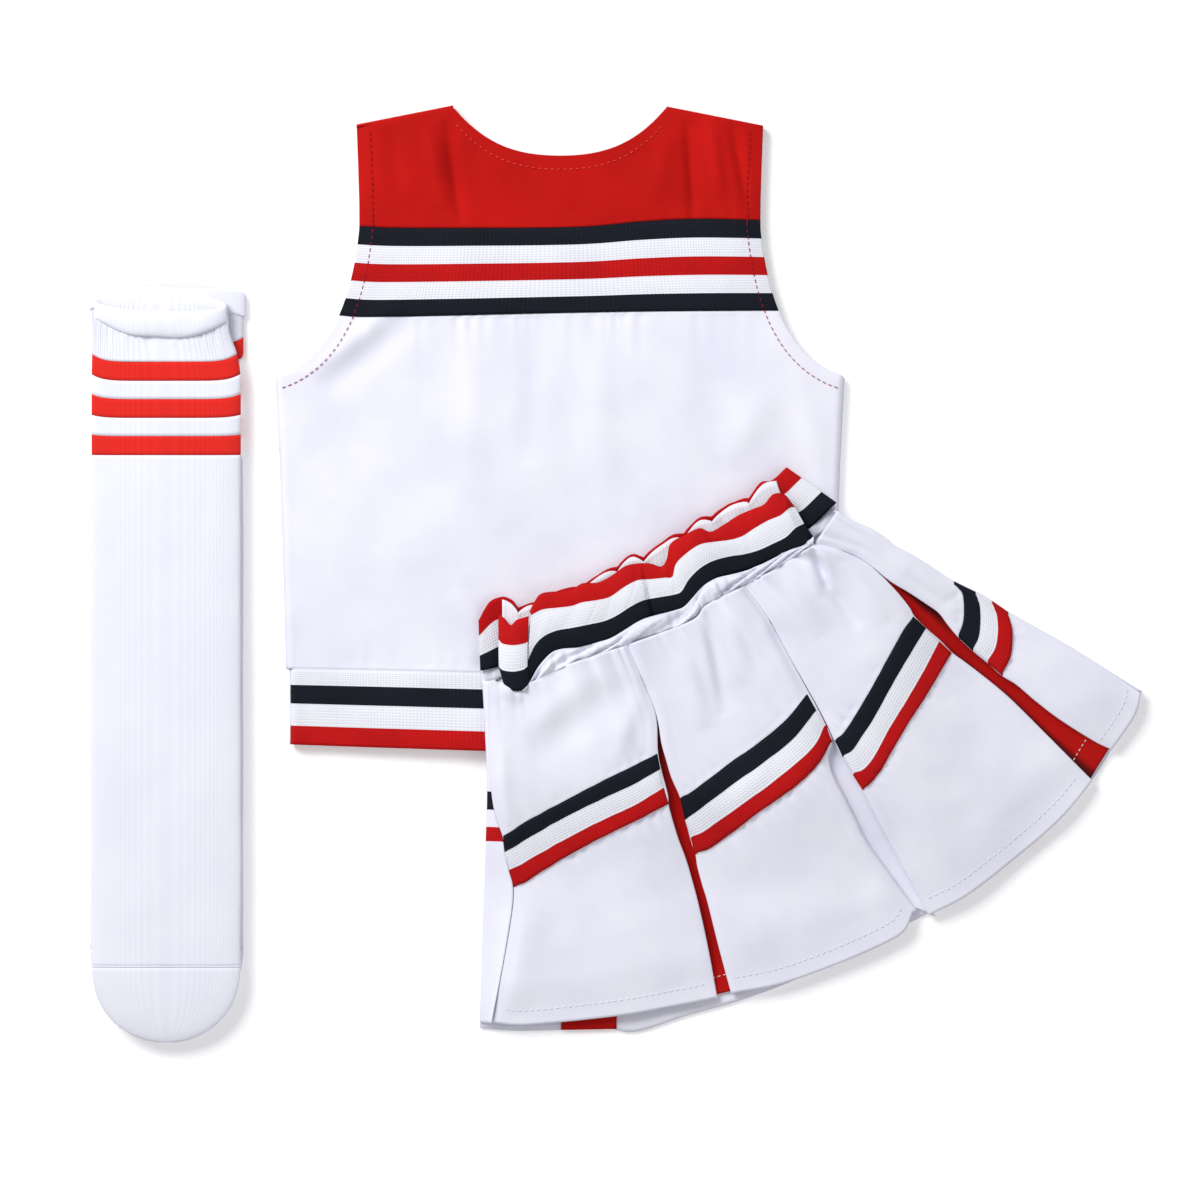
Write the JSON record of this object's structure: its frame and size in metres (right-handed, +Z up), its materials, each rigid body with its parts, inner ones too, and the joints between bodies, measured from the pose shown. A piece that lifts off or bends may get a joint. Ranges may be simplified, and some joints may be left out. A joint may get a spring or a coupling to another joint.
{
  "type": "cheer uniform",
  "caption": "Child's cheer uniform laid flat: sleeveless striped top, pleated skirt with striped waistband and trims, and striped knee socks.",
  "frame": {"origin": "middle of the laid-out set, on the surface that it lies on", "axes": "+X to the right across the set from the socks to the skirt, +Y towards the neck of the top, +Z up from the surface"},
  "size_m": [0.578, 0.513, 0.0202],
  "materials": {
    "white_twill": "matte woven polyester twill",
    "red_twill": "matte woven polyester twill",
    "striped_braid": "flat ribbed knit braid in navy, white and red stripes",
    "elastic": "woven rubber-cored elastic",
    "sock_knit": "fine ribbed cotton-blend knit",
    "sock_stripe_knit": "fine ribbed cotton-blend knit",
    "red_thread": "spun polyester sewing thread",
    "maroon_thread": "spun polyester sewing thread"
  },
  "bodies": {
    "top": {"back_body": "white_twill", "back_yoke": "red_twill", "back_chest_braid": "striped_braid", "back_hem_braid": "striped_braid", "front_body": "white_twill", "front_yoke": "red_twill", "front_chest_braid": "striped_braid", "front_hem_braid": "striped_braid", "left_side_seam": "white_twill", "right_side_seam": "white_twill", "left_shoulder_seam": "red_twill", "right_shoulder_seam": "red_twill", "neck_facing": "red_twill", "left_armhole_facing": "white_twill", "right_armhole_facing": "white_twill", "neck_topstitch": "red_thread", "left_armhole_topstitch": "maroon_thread", "right_armhole_topstitch": "maroon_thread"},
    "skirt": {"front_waistband": "striped_braid", "back_waistband": "striped_braid", "waist_elastic": "elastic", "front_gathers": "white_twill", "back_gathers": "white_twill", "front_panel_1": "white_twill", "front_panel_2": "white_twill", "front_panel_3": "white_twill", "front_panel_4": "white_twill", "front_trim_1": "striped_braid", "front_trim_2": "striped_braid", "front_trim_3": "striped_braid", "front_trim_4": "striped_braid", "front_insert_1": "red_twill", "front_insert_2": "red_twill", "front_insert_3": "red_twill", "back_panel_1": "white_twill", "back_panel_2": "white_twill", "back_panel_3": "white_twill", "back_panel_4": "white_twill", "back_trim_1": "striped_braid", "back_trim_2": "striped_braid", "back_trim_3": "striped_braid", "back_trim_4": "striped_braid", "back_insert_1": "red_twill", "back_insert_2": "red_twill", "back_insert_3": "red_twill", "left_side_insert": "white_twill", "right_side_insert": "white_twill"},
    "lower_sock": {"lower_sock_leg": "sock_knit", "lower_sock_stripes": "sock_stripe_knit", "lower_sock_cuff": "sock_knit", "lower_sock_toe": "sock_knit", "lower_sock_toe_seam": "sock_knit"},
    "upper_sock": {"upper_sock_leg": "sock_knit", "upper_sock_stripes": "sock_stripe_knit", "upper_sock_cuff": "sock_knit", "upper_sock_toe": "sock_knit", "upper_sock_toe_seam": "sock_knit"}
  },
  "joints": [
    {"name": "skirt_lift", "type": "slide", "parent": "top", "child": "skirt", "axis": [0, 0, 1], "range_m": [0, 0.12]},
    {"name": "lower_sock_lift", "type": "slide", "parent": "top", "child": "lower_sock", "axis": [0, 0, 1], "range_m": [0, 0.12]},
    {"name": "upper_sock_lift", "type": "slide", "parent": "lower_sock", "child": "upper_sock", "axis": [0, 0, 1], "range_m": [0, 0.12]}
  ]
}
